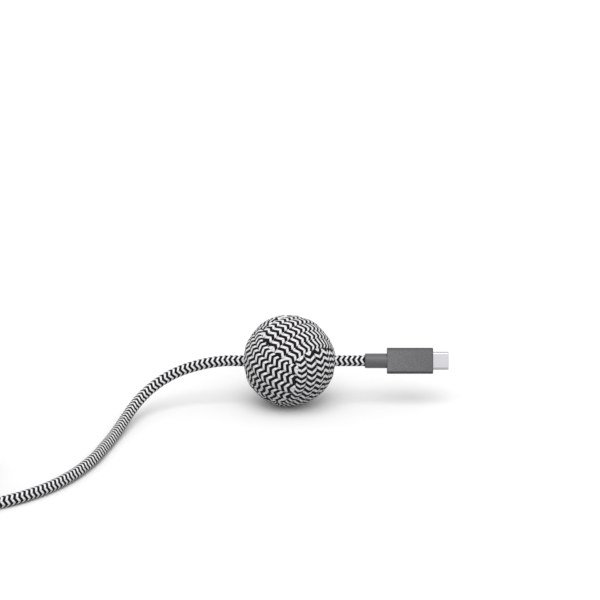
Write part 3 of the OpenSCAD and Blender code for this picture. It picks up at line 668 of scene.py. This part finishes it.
def plain_finish(name, colour, roughness, metallic=0.0, speckle=0.15, size=0.3):
    """A finish with a faint mottle of its own colour, speckle strong and size mm across, drawn
    coarser than a real grain so that it shows."""
    material, tree = new_material(name)
    place = add(tree, "ShaderNodeTexCoord")
    noise = add(tree, "ShaderNodeTexNoise", {"Vector": place.outputs["Object"],
                                             "Scale": 1 / (size * MM), "Detail": 2.0})
    base = linear(colour)
    tone = add(tree, "ShaderNodeMix", {
        "Factor": noise, 6: [c * (1 - speckle) for c in base[:3]] + [1.0],
        7: [min(1.0, c * (1 + speckle)) for c in base[:3]] + [1.0]}, data_type="RGBA")
    bump = add(tree, "ShaderNodeBump", {"Strength": 0.2, "Distance": 0.02 * MM, "Height": noise})
    finish_material(tree, add(tree, "ShaderNodeBsdfPrincipled", {
        "Base Color": tone.outputs[2], "Roughness": roughness, "Metallic": metallic,
        "Normal": bump}))
    return material


# resins and rubber are dull, the board and wires have a sheen, and the metals mirror softly
INSIDE = {
    "contact_carrier": plain_finish("moulded liquid crystal polymer", "#1a1a1c", 0.5),
    "upper_contacts": plain_finish("gold-plated bronze", "#e3b768", 0.25, 1.0, 0.05),
    "side_latches": plain_finish("stamped spring steel", "#b9bbc0", 0.3, 1.0, 0.05),
    "circuit_board": plain_finish("glass laminate with green mask", "#1d6b44", 0.35),
    "marker_chip": plain_finish("epoxy moulding compound", "#222224", 0.6),
    "capacitors": plain_finish("fired ceramic", "#a98a66", 0.45),
    "wires": plain_finish("wire insulation", "#b43a36", 0.4),
    "inner_jacket": plain_finish("extruded rubber", "#2b2b2d", 0.6),
    "crimp_collar": plain_finish("crimped brass", "#c9a45a", 0.35, 1.0, 0.08),
    "shield_can": plain_finish("tinned steel sheet", "#c4c6c9", 0.3, 1.0, 0.06),
    "inner_mould": plain_finish("moulded polyethylene", "#e4e2dc", 0.55),
}
INSIDE["lower_contacts"] = INSIDE["upper_contacts"]
for part, material in INSIDE.items():
    for plug in PLUGS:
        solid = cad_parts[f"{plug}_{part}"]
        solid.data.materials.clear()
        solid.data.materials.append(material)

# ---------------------------------------------------------------- weight and sleeve
# Inside the knot: a ball of cast iron with a bore, whose tumbled skin is dull and mottled grey,
# on a smooth black nylon sleeve that slides and turns on the cord.
for node_name, material in (
    ("knot_weight", plain_finish("cast iron, tumbled", "#7d7f82", 0.5, 1.0, 0.25, 1.2)),
    ("knot_sleeve", plain_finish("turned nylon", "#26272a", 0.4)),
):
    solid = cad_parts[node_name]
    solid.data.materials.clear()
    solid.data.materials.append(material)

# ---------------------------------------------------------------- the cord's far end
# The cord leaves the near plug's neck, lies in its coil, and ends at the far plug. The far plug's
# pieces are gathered in a list: its outer pieces, made above, and its inner ones, which are solids.
OUTER = {"far_housing": "far_housing_shell", "far_strain_relief": "far_neck",
         "far_metal_shell": "far_shell_tube"}
far_pieces = [bpy.data.objects[shown] for shown in OUTER.values()]
far_pieces += [node for name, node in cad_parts.items()
               if name.startswith("far_") and name != "far_cord_lead" and name not in OUTER]

# ---------------------------------------------------------------- floor, backdrop and light
# A white table top lies under the cable and keeps its shadow. The light is that of a studio: an
# even sky, a wide lamp overhead and a weak wide one in front.
FLOOR_HALF = 6
floor_mesh = bpy.data.meshes.new("floor")
floor_mesh.from_pydata([(x * FLOOR_HALF, y * FLOOR_HALF, 0)
                        for x, y in ((-1, -1), (1, -1), (1, 1), (-1, 1))], [], [(0, 1, 2, 3)])
floor = bpy.data.objects.new("floor", floor_mesh)
bpy.context.collection.objects.link(floor)
# its laminate is matt, so it shows as plain white, but throws less light up than it shows
floor_material, tree = new_material("matt white laminate")
rays = add(tree, "ShaderNodeLightPath")
tone = add(tree, "ShaderNodeMix", {0: rays.outputs["Is Diffuse Ray"], 6: linear("#ffffff"),
                                   7: linear("#b0b0b0")}, data_type="RGBA")
finish_material(tree, add(tree, "ShaderNodeBsdfDiffuse", {"Color": tone.outputs[2]}))
floor.data.materials.append(floor_material)

# The camera sees white, and so do metal and gloss. Everything else is lit by a dimmer even sky.
world = bpy.data.worlds.new("studio")
bpy.context.scene.world = world
world.use_nodes = True
tree = world.node_tree
tree.nodes.clear()
rays = add(tree, "ShaderNodeLightPath")
SKY_LEVEL = 0.65
seen = add(tree, "ShaderNodeMath", {0: rays.outputs["Is Camera Ray"],
                                    1: rays.outputs["Is Transmission Ray"]}, operation="MAXIMUM")
shown = add(tree, "ShaderNodeMath", {0: seen, 1: rays.outputs["Is Glossy Ray"]},
            operation="MAXIMUM")
level = add(tree, "ShaderNodeMix", {0: shown, 2: SKY_LEVEL, 3: 1.0})
sky = add(tree, "ShaderNodeBackground", {"Color": linear("#ffffff"), "Strength": level})
add(tree, "ShaderNodeOutputWorld", {"Surface": sky})


def soft_light(name, elevation, azimuth, spread, share):
    """A wide distant lamp, spread degrees across. It gives the floor that share of full white, so
    its strength is share times pi over the sine of its elevation. Azimuth 0 is the camera's side
    and 90 the near plug's."""
    data = bpy.data.lights.new(name, "SUN")
    data.angle = math.radians(spread)
    data.energy = share * math.pi / math.sin(math.radians(elevation))
    lamp = bpy.data.objects.new(name, data)
    lamp.rotation_euler = (math.radians(90 - elevation), 0, math.radians(azimuth))
    bpy.context.collection.objects.link(lamp)


soft_light("overhead", 69, -8, 50, 0.31)
soft_light("fill", 35, 15, 60, 0.10)

bpy.context.scene.view_settings.view_transform = "Standard"
